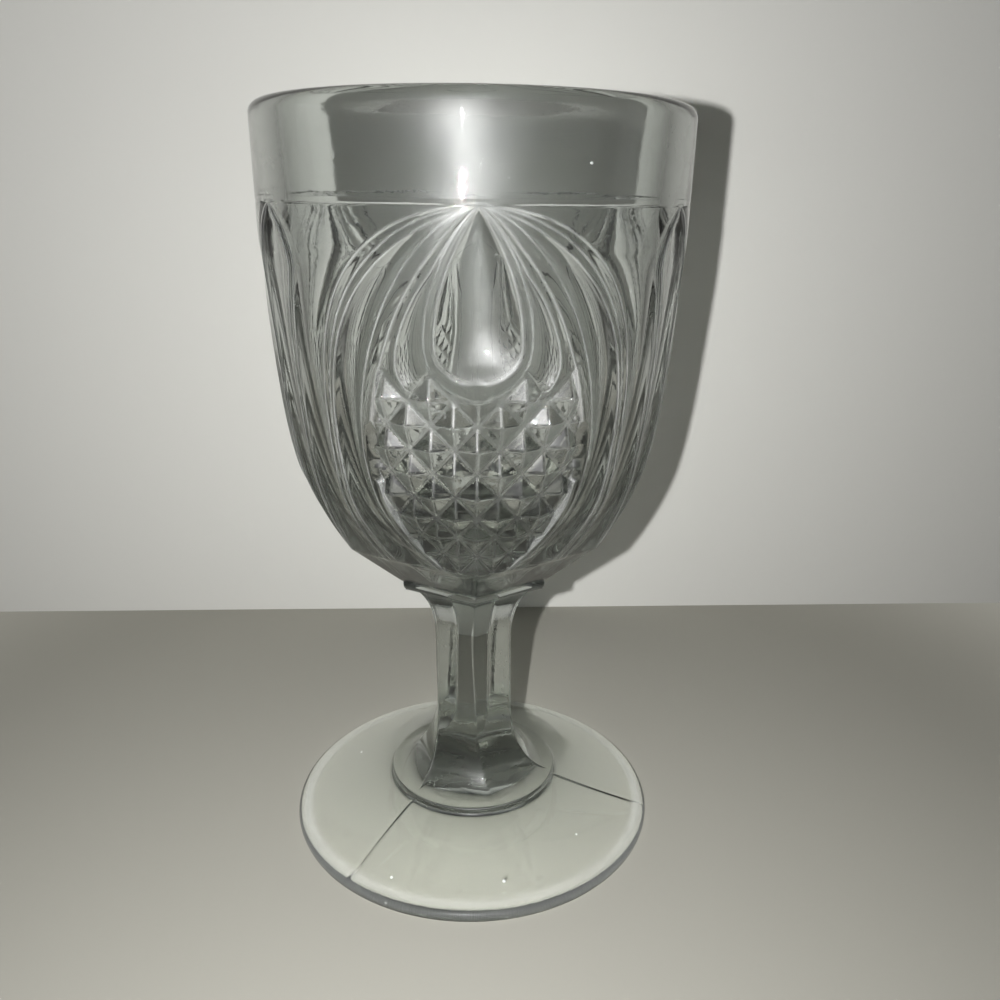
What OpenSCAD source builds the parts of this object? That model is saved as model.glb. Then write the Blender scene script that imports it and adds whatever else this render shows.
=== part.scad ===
// Pressed-glass water goblet: rim, patterned bowl, collar, stem, flared base and foot.
// Three large looped panels go round the bowl, with a narrow lancet panel between each two.

/* [Goblet] */
// Height of the whole goblet
total_h = 152; // [130:1:180]
// Height of the foot, base, stem and collar together, up to the bowl
leg_h = 60; // [50:0.5:72]
// Diameter of the rim
rim_d = 82; // [72:1:92]
// Diameter of the foot
foot_d = 81.4; // [70:0.1:92]

/* [Rim] */
// Height of the plain band from the pattern to the lip
band_h = 16; // [10:0.5:24]
// Glass thickness at the lip
lip_wall = 5; // [4:0.1:6]
// Glass thickness where the band meets the pattern
band_wall = 5.6; // [4.6:0.1:6.4]
// Rounding of the fire-polished lip
lip_round = 2.2; // [1.2:0.1:2.4]
// How far the band draws in from the lip to the pattern
band_draw = 0.2; // [0:0.1:1]

/* [Bowl] */
// Height of the six-sided cone under the bowl
cone_h = 9.5; // [7:0.5:13]
// Radius at the corners where that cone meets the round body
cone_r = 28.5; // [24:0.5:31]
// Radius at the corners of the face that stands on the collar
seat_r = 17.4; // [15:0.2:20]
// Depth of the slight waist half-way down the body
waist = 1.2; // [0:0.1:2]
// Glass under the deepest point of the inside
floor_t = 13; // [10:0.5:18]

/* [Pattern] */
// Gap from the plain band down to the point of the panels
apex_gap = 1; // [0.5:0.1:3]
// Width of a diamond, in degrees round the bowl
diamond_deg = 12.3; // [11:0.1:13]
// Height of a diamond
diamond_h = 8.7; // [8:0.1:10]
// Depth of the valleys between the diamonds
diamond_depth = 1.7; // [0.8:0.1:2]
// Depth of the scooped teardrop
tear_depth = 1.4; // [0.6:0.1:2]
// Depth of the petals beside the teardrop
petal_depth = 0.9; // [0.4:0.1:1.6]
// Depth of the flute between the oval frame and the outer loop
flute_depth = 1.6; // [0.6:0.1:2]
// Depth of the groove between two panels
gap_depth = 1.3; // [0.5:0.1:2]
// Depth of the hollow in a lancet panel
lancet_depth = 1.4; // [0.6:0.1:2]
// Depth of the thin groove along the middle of each ridge
ridge_groove = 0.35; // [0.1:0.05:0.6]

/* [Collar and stem] */
// Height of the collar, from the stem to the bowl
collar_h = 15; // [12:0.5:20]
// Height of the collar's upright edge
collar_edge_h = 2.4; // [1.5:0.1:4]
// How far the collar's edge draws in on its way down
collar_edge_draw = 0.4; // [0:0.1:1]
// Radius at the corners of the six-sided stem
stem_r = 9.3; // [8:0.1:11]

/* [Base and foot] */
// Height of the flared base, from the foot to the stem
base_h = 18.7; // [14:0.1:24]
// Radius of the round pad at the bottom of the flared base
pad_r = 18.9; // [16:0.1:22]
// Height of the pad's edge
pad_edge_h = 2.6; // [1.6:0.1:4]
// How far the base turns as it flares, as the pressed glass has twisted
base_turn = 15; // [0:1:20]
// Height of the foot under the pad
foot_h = 8.3; // [7:0.1:11]
// Thickness of the foot at its rolled edge
foot_edge_h = 3.4; // [2.8:0.1:5]
// Width of the flat ring that the foot stands on
ring_w = 4.5; // [3:0.1:8]
// Depth of the hollow under the foot
hollow_h = 2.6; // [1.5:0.1:4]

/* [Hidden] */

// Smoothness of the turned surfaces, and how far a cut runs past what it cuts
turned_fn = 128;
overrun = 1;

glass = [0.80, 0.84, 0.84, 0.55];
rim_r = rim_d / 2;
foot_r = foot_d / 2;
band_r = rim_r - band_draw;
seat_z = leg_h;
bowl_h = total_h - leg_h;
cone_z = seat_z + cone_h;
band_z = seat_z + bowl_h - band_h;
stem_top_z = seat_z - collar_h;
stem_foot_z = foot_h + base_h;

// Six-sided section with its corners at 0, 60 and 120 degrees: its radius as a share of the corner radius
function hexed_share(a) = cos(30) / cos(abs((a % 60 + 60) % 60 - 30));

// Outside of the body without its pattern
body_curve = 3.8;
function body_t(z) = (z - cone_z) / (band_z - cone_z);
function body_r(z) =
    cone_r + (band_r - cone_r) * (1 - pow(max(0, 1 - body_t(z)), body_curve))
    - waist * pow(sin(180 * body_t(z)), 2);

// How six-sided the body is: round above this share of its height, and nearly flat-sided at its foot
hex_reach_share = 0.24;
hex_most_share = 0.8;
function hex_mix_share(z) = hex_most_share * pow(max(0, 1 - body_t(z) / hex_reach_share), 1.5);
function section_share(a, z) = 1 - hex_mix_share(z) * (1 - hexed_share(a));

// Heights of the pattern, as shares of its height measured down from its point
pattern_top = band_z - apex_gap;
pattern_h = pattern_top - cone_z;
function down(share) = pattern_top - share * pattern_h;
loop_wide_z = down(0.60);
oval_wide_z = down(0.595);
oval_foot_z = down(1.06);
petal_tip_z = down(0.076);
petal_wide_z = down(0.37);
petal_foot_z = down(0.51);
tear_wide_z = down(0.32);
tear_foot_z = down(0.461);
tear_hole_z = down(0.415);
field_top_z = down(0.345);
field_mid_z = down(0.533);
lancet_wide_z = down(0.155);
lancet_waist_z = down(0.40);
fade_z = down(0.93);

// Half-widths of the figures, in degrees from the middle of their panel
loop_deg = 42.4;
flute_share = 0.76;
oval_deg = 31;
frame_top_deg = 3.9;
frame_foot_deg = 2.6;
frame_reach_share = 0.4;
petal_deg = 20;
petal_least_share = 0.3;
petal_blend_deg = 3;
tear_deg = 12.6;
tear_hole_deg = 10.3;
lancet_deg = 10.8;
lancet_ridge_deg = 2.2;
lancet_waist_deg = 7.4;
lancet_least_deg = 1.2;

// Half-width of an arch that rises to a point, as a share of its greatest half-width
function arched_share(z, wide_z, tip_z, roundness, fullness) =
    pow(max(0, 1 - pow(max(0, (z - wide_z) / (tip_z - wide_z)), roundness)), fullness);

// Half-width of a rounded lower end, as a share
function round_end_share(z, wide_z, foot_z) =
    sqrt(max(0, 1 - pow(max(0, (wide_z - z) / (wide_z - foot_z)), 2)));

function loop_out(z) = loop_deg * arched_share(z, loop_wide_z, pattern_top, 2.6, 0.46);
function loop_in(z) =
    oval_out(z)
    + (loop_out(z) - oval_out(z)) * flute_share * arched_share(z, field_mid_z, pattern_top, 2.2, 0.5);
function oval_out(z) =
    oval_deg
    * arched_share(z, oval_wide_z, pattern_top, 1.85, 0.65)
    * round_end_share(z, oval_wide_z, oval_foot_z);
function frame_deg(z) =
    let (s = min(1, max(0, (z - oval_wide_z) / (field_top_z - oval_wide_z))))
    frame_foot_deg + (frame_top_deg - frame_foot_deg) * s;
function oval_in(z) =
    max(tear_out(z) + frame_reach_share * (oval_out(z) - tear_out(z)), oval_out(z) - frame_deg(z));
function petal_arch(z) =
    petal_deg
    * arched_share(z, petal_wide_z, petal_tip_z, 1.6, 0.65)
    * round_end_share(z, petal_wide_z, petal_foot_z);
function petal_out(z) =
    min(oval_in(z), max(petal_arch(z), tear_out(z) + petal_least_share * (oval_in(z) - tear_out(z))));
function tear_out(z) =
    tear_deg
    * arched_share(z, tear_wide_z, pattern_top, 1.9, 0.85)
    * round_end_share(z, tear_wide_z, tear_foot_z);
function tear_in(z) =
    tear_hole_deg
    * arched_share(z, tear_wide_z, pattern_top, 1.9, 1)
    * round_end_share(z, tear_wide_z, tear_hole_z);
function lancet_rise_share(z) = pow((z - lancet_waist_z) / (lancet_wide_z - lancet_waist_z), 1.6);
function lancet_fall_share(z) = pow(max(0, 1 - pow((lancet_waist_z - z) / (lancet_waist_z - cone_z), 4)), 0.7);
function lancet_out(z) =
    z >= lancet_wide_z
        ? lancet_deg * arched_share(z, lancet_wide_z, pattern_top, 1.8, 0.7)
        : z >= lancet_waist_z
            ? lancet_waist_deg + (lancet_deg - lancet_waist_deg) * lancet_rise_share(z)
            : max(lancet_least_deg, lancet_waist_deg * lancet_fall_share(z));
function lancet_in(z) = max(lancet_out(z) * 0.5, lancet_out(z) - lancet_ridge_deg);

// Depth of a hollow: nothing at its two edges, most at its middle
function scoop_share(a, from, to) = to - from < 0.01 ? 0 : 1 - pow(2 * (a - from) / (to - from) - 1, 2);

// Depth of a groove with straight sides
function notch_share(a, from, to) = to - from < 0.01 ? 0 : 1 - abs(2 * (a - from) / (to - from) - 1);

// The diamond field: valleys cross where both counts are even, and a point stands in each cell between them.
// Heights of the points run from 0 in a valley to 1 on a point.
function rising_count(a, z) = 2 * a / diamond_deg + 2 * (z - field_mid_z) / diamond_h;
function falling_count(a, z) = 2 * a / diamond_deg - 2 * (z - field_mid_z) / diamond_h;
function off_odd(v) = abs(v - (2 * floor(v / 2) + 1));
function diamond_share(a, z) = 1 - max(off_odd(rising_count(a, z)), off_odd(falling_count(a, z)));

// The petals beside the teardrop reach down into the field along two of its valleys
function on_petal(a, z) = z >= field_top_z || (rising_count(a, z) > 4 && falling_count(a, z) < 2);

// The teardrop rises to the surface as it narrows, faster at its round foot than at its tip
function tear_sunk_share(z) = pow(tear_in(z) / tear_hole_deg, z < tear_wide_z ? 2 : 0.7);

// Petals fade out where they narrow to their tips
function petal_share(z) = min(1, max(0, (petal_arch(z) - tear_out(z)) / petal_blend_deg));

// Depth of the pattern below the plain body, at a degrees from the middle of a looped panel
function relief(a, z) =
    let (
        width_share = min(1, loop_out(z) / 20),
        foot_share = min(1, max(0, (z - cone_z) / (fade_z - cone_z)))
    )
    width_share * foot_share * (
        a < tear_in(z) ? tear_depth * tear_sunk_share(z) * scoop_share(a, -tear_in(z), tear_in(z))
        : a <= tear_out(z) ? 0
        : a < oval_in(z) ? (
            !on_petal(a, z) ? diamond_depth * (1 - diamond_share(a, z))
            : a < petal_out(z) ? petal_depth * petal_share(z) * scoop_share(a, tear_out(z), petal_out(z))
            : ridge_groove * notch_share(a, petal_out(z), oval_in(z)))
        : a <= oval_out(z) ? 0
        : a < loop_in(z) ? flute_depth * scoop_share(a, oval_out(z), loop_in(z))
        : a <= loop_out(z) ? ridge_groove * notch_share(a, loop_in(z), loop_out(z))
        : a < 60 - lancet_out(z) ? (
            let (narrow_share = min(1, max(0, 1.6 - (60 - lancet_out(z) - loop_out(z)) / 14)))
            gap_depth * narrow_share * scoop_share(a, loop_out(z), 60 - lancet_out(z)))
        : a <= 60 - lancet_in(z) ? ridge_groove * notch_share(a, 60 - lancet_out(z), 60 - lancet_in(z))
        : lancet_depth * min(1, lancet_in(z) / 5) * scoop_share(a, 60 - lancet_in(z), 60 + lancet_in(z)));

// Columns of the pattern from the middle of a looped panel to the middle of a lancet, in degrees.
// Inside the oval they stand on the diamonds, and elsewhere they follow the edges of the figures.
inner_n = 9;
column_deg = diamond_deg / 4;
least_deg = 0.15;
function between(from, to, n) = [for (k = [1 : n]) from + (to - from) * k / n];
function arch_columns(z) = concat(
    [0],
    between(0, tear_in(z), 3),
    [tear_out(z)],
    between(tear_out(z), petal_out(z), 3),
    between(petal_out(z), oval_in(z), 2));
function field_columns(z) =
    let (edge = round(tear_out(z) / column_deg), side = round(petal_out(z) / column_deg))
    [for (k = [0 : inner_n])
        k > 0 && k == edge ? tear_out(z)
        : k > 0 && k == edge - 1 && tear_in(z) > least_deg ? tear_in(z)
        : k == side && side < inner_n && on_petal(petal_out(z), z) ? petal_out(z)
        : min(k * column_deg, oval_in(z) - (inner_n - k) * least_deg)];
function columns(z) = concat(
    z >= field_top_z ? arch_columns(z) : field_columns(z),
    [oval_out(z)],
    between(oval_out(z), loop_in(z), 4),
    between(loop_in(z), loop_out(z), 2),
    between(loop_out(z), 60 - lancet_out(z), 5),
    between(60 - lancet_out(z), 60 - lancet_in(z), 2),
    between(60 - lancet_in(z), 60, 2));

// Rows of the pattern, four to each diamond's height, with one at its foot and one at its point
row_h = diamond_h / 4;
first_row = ceil((cone_z + row_h / 2 - field_mid_z) / row_h);
last_row = floor((pattern_top - row_h / 2 - field_mid_z) / row_h);
last_z = field_mid_z + last_row * row_h;
rows = concat(
    [cone_z],
    [for (j = [first_row : last_row]) field_mid_z + j * row_h],
    [(last_z + pattern_top) / 2]);

// One ring of points: the columns of half a panel, mirrored and set six times round
half_n = len(columns(rows[0])) - 1;
ring_n = 6 * half_n;
function ring_deg(cols, i) =
    let (side = floor(i / half_n), k = i % half_n)
    side * 60 + (side % 2 == 0 ? cols[k] : 60 - cols[half_n - k]);
function panel_deg(a) = let (b = ((a % 120) + 120) % 120) b > 60 ? 120 - b : b;
function skin_r(a, z) = body_r(z) * section_share(a, z) - relief(panel_deg(a), z);
function spot(r, a, z) = [r * sin(a), -r * cos(a), z];
function pattern_ring(z) = let (cols = columns(z)) [for (i = [0 : ring_n - 1]) [ring_deg(cols, i), z]];
top_cols = columns(rows[len(rows) - 1]);
function plain_ring(z) = [for (i = [0 : ring_n - 1]) [ring_deg(top_cols, i), z]];

skin_rings = concat([for (z = rows) pattern_ring(z)], [plain_ring(band_z)]);
seat_ring = [for (p = skin_rings[0]) spot(seat_r * hexed_share(p[0]), p[0], seat_z)];
body_points = concat(
    seat_ring,
    [for (j = [0 : len(skin_rings) - 1])
        for (p = skin_rings[j])
            spot(j == len(skin_rings) - 1 ? band_r : skin_r(p[0], p[1]), p[0], p[1])],
    [[0, 0, seat_z], [0, 0, band_z]]);

// Two triangles for each four points, split along the way that lies nearer the true surface
function split_first(j, i) =
    j < 1 || j > len(rows) - 1 ? true :
    let (
        n = (i + 1) % ring_n,
        wrap = n == 0 ? 360 : 0,
        p = skin_rings[j - 1][i],
        q = skin_rings[j - 1][n] + [wrap, 0],
        s = skin_rings[j][i],
        t = skin_rings[j][n] + [wrap, 0],
        truth = skin_r((p[0] + q[0] + s[0] + t[0]) / 4, (p[1] + s[1]) / 2),
        rising = (skin_r(p[0], p[1]) + skin_r(t[0], t[1])) / 2,
        falling = (skin_r(q[0], q[1]) + skin_r(s[0], s[1])) / 2
    )
    abs(rising - truth) <= abs(falling - truth);
top_i = len(skin_rings) * ring_n;
seat_centre = top_i + ring_n;
body_faces = concat(
    [for (i = [0 : ring_n - 1]) [seat_centre, i, (i + 1) % ring_n]],
    [for (j = [0 : len(skin_rings) - 1])
        for (i = [0 : ring_n - 1])
            let (a = j * ring_n + i, b = j * ring_n + (i + 1) % ring_n, c = a + ring_n, d = b + ring_n)
            for (f = split_first(j, i) ? [[a, d, b], [a, c, d]] : [[a, c, b], [b, c, d]]) f],
    [for (i = [0 : ring_n - 1]) [seat_centre + 1, top_i + (i + 1) % ring_n, top_i + i]]);

// Inside of the bowl, from its floor to the plain band
cavity_z = seat_z + floor_t;
cavity_r = band_r - band_wall;
cavity_steps = 20;
cavity_taper_share = 0.02;
function cavity_at(s) = cavity_r * sqrt(1 - pow(1 - s, 3.5)) * (1 - cavity_taper_share * (1 - s));
cavity_points = concat(
    [[0, cavity_z]],
    [for (k = [1 : cavity_steps - 1])
        let (s = pow(k / cavity_steps, 2))
        [cavity_at(s), cavity_z + s * (band_z - cavity_z)]],
    [[cavity_r, band_z + overrun], [0, band_z + overrun]]);

// Quarter turn of a rounded corner about a centre
function corner(cx, cz, r, from, steps) =
    [for (k = [0 : steps]) let (a = from + 90 * k / steps) [cx + r * cos(a), cz + r * sin(a)]];

module rim() {
    inner_r = rim_r - lip_wall;
    color(glass)
    rotate_extrude($fn = turned_fn)
    polygon(concat(
        [[cavity_r, band_z], [band_r, band_z]],
        corner(rim_r - lip_round, total_h - lip_round, lip_round, 0, 8),
        corner(inner_r + lip_round, total_h - lip_round, lip_round, 90, 8)));
}

module bowl() {
    color(glass)
    difference() {
        polyhedron(points = body_points, faces = body_faces, convexity = 8);
        rotate_extrude($fn = turned_fn) polygon(cavity_points);
    }
}

// Six-sided solid whose flats follow a profile of [distance from the axis, height]
module six_sided(profile, reach) {
    intersection_for (turn = [0, 60, 120])
        rotate([90, 0, turn])
        linear_extrude(height = 2 * reach, center = true)
        polygon(concat(profile, [for (k = [len(profile) - 1 : -1 : 0]) [-profile[k][0], profile[k][1]]]));
}

// The collar: an upright edge, then a hollow curve down to the stem
collar_steps = 12;
module collar() {
    edge_r = seat_r - collar_edge_draw;
    curve_h = collar_h - collar_edge_h;
    color(glass)
    six_sided(
        concat(
            [for (k = [0 : collar_steps])
                let (a = 90 * k / collar_steps)
                [cos(30) * (edge_r - (edge_r - stem_r) * cos(a)), stem_top_z + curve_h * sin(a)]],
            [[cos(30) * seat_r, seat_z]]),
        seat_r);
}

module stem() {
    color(glass)
    translate([0, 0, stem_foot_z])
    rotate([0, 0, 30])
    linear_extrude(height = stem_top_z - stem_foot_z)
    circle(r = stem_r, $fn = 6);
}

// The flared base: six-sided at the stem, turning and rounding out into a pad
base_steps = 14;
base_n = 48;
pad_round = pad_edge_h / 2;
flare_r = pad_r - pad_round;
base_rings = concat(
    [[pad_r, foot_h, 1], [pad_r, foot_h + pad_edge_h - pad_round, 1]],
    [for (k = [1 : 4])
        let (a = 90 * k / 4)
        [flare_r + pad_round * cos(a), foot_h + pad_edge_h - pad_round * (1 - sin(a)), 1]],
    [for (k = [1 : base_steps])
        let (
            a = 90 * (1 - k / base_steps),
            s = 1 - k / base_steps
        )
        [flare_r - (flare_r - stem_r) * cos(a), stem_foot_z - (base_h - pad_edge_h) * sin(a), pow(s, 1.5)]]);
function base_ring(r, z, round_share) = [
    for (i = [0 : base_n - 1])
        let (a = 360 * i / base_n)
        spot(r * (round_share + (1 - round_share) * hexed_share(a)), a + base_turn * round_share, z)];

module base() {
    points = [for (g = base_rings) for (p = base_ring(g[0], g[1], g[2])) p];
    last = (len(base_rings) - 1) * base_n;
    faces = concat(
        [[for (i = [0 : base_n - 1]) i]],
        [for (j = [0 : len(base_rings) - 2])
            for (i = [0 : base_n - 1])
                let (a = j * base_n + i, b = j * base_n + (i + 1) % base_n)
                for (f = [[a, a + base_n, b + base_n], [a, b + base_n, b]]) f],
        [[for (i = [base_n - 1 : -1 : 0]) last + i]]);
    color(glass)
    polyhedron(points = points, faces = faces, convexity = 4);
}

// The foot: a flat land under the pad, a cone to a rolled edge, and a hollow underside
edge_share = 0.5;
foot_steps = 8;
module foot() {
    roll = foot_edge_h * edge_share;
    hollow_r = foot_r - roll - ring_w;
    color(glass)
    rotate_extrude($fn = turned_fn)
    polygon(concat(
        [[0, foot_h], [0, hollow_h]],
        [for (k = [1 : foot_steps]) let (a = 90 * k / foot_steps) [hollow_r * sin(a), hollow_h * cos(a)]],
        corner(foot_r - roll, roll, roll, -90, foot_steps),
        corner(foot_r - roll, foot_edge_h - roll, roll, 0, foot_steps),
        [[pad_r, foot_h]]));
}

rim();
bowl();
collar();
stem();
base();
foot();
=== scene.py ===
import math

import bmesh
import bpy
import numpy as np
from mathutils import Matrix, Vector
from mathutils.kdtree import KDTree


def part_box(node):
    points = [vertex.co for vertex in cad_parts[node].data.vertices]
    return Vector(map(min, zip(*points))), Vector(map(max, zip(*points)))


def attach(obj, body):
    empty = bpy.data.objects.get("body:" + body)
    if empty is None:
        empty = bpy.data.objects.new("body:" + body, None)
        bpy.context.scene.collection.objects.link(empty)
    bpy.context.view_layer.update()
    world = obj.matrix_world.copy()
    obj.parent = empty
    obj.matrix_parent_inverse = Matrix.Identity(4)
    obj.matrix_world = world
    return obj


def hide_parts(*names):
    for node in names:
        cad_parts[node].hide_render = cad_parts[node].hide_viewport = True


# A clear pressed-glass water goblet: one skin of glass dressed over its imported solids.
# Lengths in the dictionaries are millimetres and angles are degrees.
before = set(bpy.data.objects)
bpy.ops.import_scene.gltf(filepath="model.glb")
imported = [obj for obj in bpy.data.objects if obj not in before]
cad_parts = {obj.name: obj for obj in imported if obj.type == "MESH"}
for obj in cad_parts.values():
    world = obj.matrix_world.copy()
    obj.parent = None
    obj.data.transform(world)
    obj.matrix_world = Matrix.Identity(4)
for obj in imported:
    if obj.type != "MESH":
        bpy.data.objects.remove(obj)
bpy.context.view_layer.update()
mm = 0.001
scene = bpy.context.scene
scene.view_settings.view_transform = "Standard"


# Wraps a node's output, so that node maths reads as ordinary sums
class Wire:
    def __init__(self, graph, node, output=0):
        self.graph = graph
        self.node = node
        self.socket = node.outputs[output] if node.outputs else None

    def out(self, output):
        return Wire(self.graph, self.node, output)

    def __add__(self, other): return self.graph.maths("ADD", self, other)
    def __radd__(self, other): return self.graph.maths("ADD", other, self)
    def __sub__(self, other): return self.graph.maths("SUBTRACT", self, other)
    def __rsub__(self, other): return self.graph.maths("SUBTRACT", other, self)
    def __mul__(self, other): return self.graph.maths("MULTIPLY", self, other)
    def __rmul__(self, other): return self.graph.maths("MULTIPLY", other, self)
    def __truediv__(self, other): return self.graph.maths("DIVIDE", self, other)
    def __rtruediv__(self, other): return self.graph.maths("DIVIDE", other, self)


class Graph:
    def __init__(self, nodeTree):
        self.nodeTree = nodeTree
        nodeTree.nodes.clear()

    # One node: its type, its settings, and the values or links of its sockets
    def add(self, kind, settings=None, sockets=None):
        node = self.nodeTree.nodes.new(kind)
        for name, value in (settings or {}).items():
            setattr(node, name, value)
        for key, value in (sockets or {}).items():
            if isinstance(value, Wire):
                self.nodeTree.links.new(value.socket, node.inputs[key])
            else:
                node.inputs[key].default_value = value
        return Wire(self, node)

    def maths(self, operation, *values):
        return self.add("ShaderNodeMath", {"operation": operation}, dict(enumerate(values)))

    # A value carried from one range to another, straight or eased at both ends
    def ranged(self, value, source, target, eased=False):
        return self.add("ShaderNodeMapRange", {"interpolation_type": "SMOOTHSTEP" if eased else "LINEAR"}, {
            "Value": value, "From Min": source[0], "From Max": source[1],
            "To Min": target[0], "To Max": target[1]})

    # Noise whose swells are a size in millimetres apart
    def noise(self, coords, size, detail):
        return self.add("ShaderNodeTexNoise", {}, {
            "Vector": coords, "Scale": 1 / (size * mm), "Detail": detail})


def newMaterial(name):
    material = bpy.data.materials.new(name)
    material.use_nodes = True
    return material, Graph(material.node_tree)


# Lowest and highest corner of a box, in millimetres
def cornersOf(box):
    return [np.array(corner) / mm for corner in box]


bowlLow = cornersOf(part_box("bowl"))[0]
rimLow, rimHigh = cornersOf(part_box("rim"))
footHigh = cornersOf(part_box("foot"))[1]
baseLow, baseHigh = cornersOf(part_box("base"))
collarLow = cornersOf(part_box("collar"))[0]

goblet = {
    # Band and lip
    "height": rimHigh[2], "rim": rimHigh[0], "bandFoot": 40.8, "bandZ": rimLow[2], "bandStart": 0.5,
    "lipWall": 5.0, "lipRound": 2.2, "bandWall": 5.6,
    # Bowl, with the six-sided cone under it and the inside
    "seatZ": bowlLow[2], "seat": 17.4, "coneHeight": 9.5, "cone": 28.5,
    "coneBlendFrom": 0.8, "coneBlendOver": 0.2,
    "waist": 1.2, "bodyCurve": 3.8, "hexReach": 0.24, "hexMost": 0.8, "hexFade": 1.5,
    "floor": 13.0, "cavityCurve": 3.5, "cavityDraw": 0.02,
    # Collar and stem
    "collarZ": collarLow[2], "collarEdge": 2.0, "collarDraw": 0.4, "collarSoft": 0.5, "seatDraw": 0.1,
    "stem": 9.3, "cornerRound": 0.7,
    # Base and foot
    "baseZ": baseLow[2], "baseTop": baseHigh[2], "pad": 18.9, "padEdge": 2.6, "padStep": 1.4,
    "flareRound": 1.5,
    "foot": footHigh[0], "footEdge": 3.4, "rollReach": 3.4, "ring": 4.5, "hollow": 2.6,
    # Mould seams, and how the skin is put together and waves
    "seam": 0.36, "seamSide": 0.45,
    "panels": 3, "waviness": 0.05, "waveLength": 13.0, "weld": 0.01, "seed": 7,
}
print("packed goblet:", round(goblet["height"], 1), "mm high,", round(2 * goblet["rim"], 1), "mm across")
# How far the glass has turned round by each height, bottom to top
twist = {"z": (0, 8.3, 11, 15, 21, 31, 38, 46, 54), "turn": (18.6, 15.4, 14.2, 9.5, 4.0, 1.6, -0.4, -1.6, 0)}

# Angles and widths round the bowl are degrees from the middle of a panel, up to half a panel
halfPanel = 60
pattern = {
    "apexGap": 1.0,
    "diamondWide": 12.3, "diamondTall": 8.7, "diamondDeep": 1.7, "valleyStep": 3.0, "bevel": 0.35,
    "tearDeep": 2.6, "petalDeep": 0.9, "fluteDeep": 1.4, "gapDeep": 0.8, "lancetDeep": 0.9,
    "groove": 0.32, "crown": 0.25, "scoopEnd": 6.0, "tearEase": 11.0, "holeFade": 0.7, "holeGain": 1.15,
    "loop": 42.4, "fluteShare": 0.76, "oval": 31.0, "frameTop": 3.9, "frameFoot": 2.6, "frameReach": 0.4,
    "petal": 20.0, "petalLeast": 0.3, "petalBlend": 2.0, "tear": 12.6, "tearHole": 10.3,
    "lancet": 10.8, "lancetRidge": 2.2, "lancetShare": 0.5, "lancetWaist": 7.4, "lancetLeast": 1.2,
    "lancetGrow": 1.6, "lancetFall": (4, 0.7), "lancetFull": 5, "gapFull": 1.6, "gapWide": 14, "loopFull": 20,
    # Roundness and fullness of the pointed end of each figure
    "loopPoint": (2.6, 0.46), "ovalPoint": (1.85, 0.65), "flutePoint": (2.2, 0.5), "ringPoint": (1.9, 0.85),
    "holePoint": (1.9, 1), "petalPoint": (1.6, 0.65), "lancetPoint": (1.8, 0.7),
}
top = goblet["bandZ"] - pattern["apexGap"]
coneZ = goblet["seatZ"] + goblet["coneHeight"]


# Height of a share of the pattern, counted down from its top
def down(share):
    return top - share * (top - coneZ)


loopWideZ, ovalWideZ, ovalFootZ = down(0.60), down(0.595), down(1.06)
petalTipZ, petalWideZ, petalFootZ = down(0.076), down(0.37), down(0.51)
tearWideZ, tearFootZ, tearHoleZ = down(0.32), down(0.461), down(0.415)
fieldTopZ, fieldMidZ, fadeZ = down(0.345), down(0.533), down(0.93)
lancetWideZ, lancetWaistZ = down(0.155), down(0.40)
gapTopZ, fluteTopZ = down(0.03), down(0.065)


def clip(value):
    return np.clip(value, 0, 1)


# Half-width of an arch that rises to a point, and of a rounded lower end
def arched(z, wideZ, tipZ, point):
    roundness, fullness = pattern[point]
    return (1 - clip((z - wideZ) / (tipZ - wideZ)) ** roundness) ** fullness


def roundEnd(z, wideZ, footZ):
    return math.sqrt(1 - clip((wideZ - z) / (wideZ - footZ)) ** 2)


# How far the teardrop's hollow has sunk, from a steep start at its foot to its full depth higher up
def tearSunkAt(z, tearIn):
    p = pattern
    if tearIn <= 0:
        return 0.0
    sunk = 1 - (1 - clip((z - tearHoleZ) / p["tearEase"])) ** 2
    return sunk * min(1, (tearIn / p["tearHole"]) ** p["holeFade"] * p["holeGain"])


# How far a scoop that ends at a height has sunk
def scoopSunk(z, endZ):
    return math.sqrt(clip((endZ - z) / pattern["scoopEnd"]))


def lancetWidth(z):
    p = pattern
    if z >= lancetWideZ:
        return p["lancet"] * arched(z, lancetWideZ, top, "lancetPoint")
    if z >= lancetWaistZ:
        rise = (z - lancetWaistZ) / (lancetWideZ - lancetWaistZ)
        return p["lancetWaist"] + (p["lancet"] - p["lancetWaist"]) * rise ** p["lancetGrow"]
    fall = (lancetWaistZ - z) / (lancetWaistZ - coneZ)
    steepness, fullness = p["lancetFall"]
    return max(p["lancetLeast"], p["lancetWaist"] * clip(1 - fall ** steepness) ** fullness)


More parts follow.
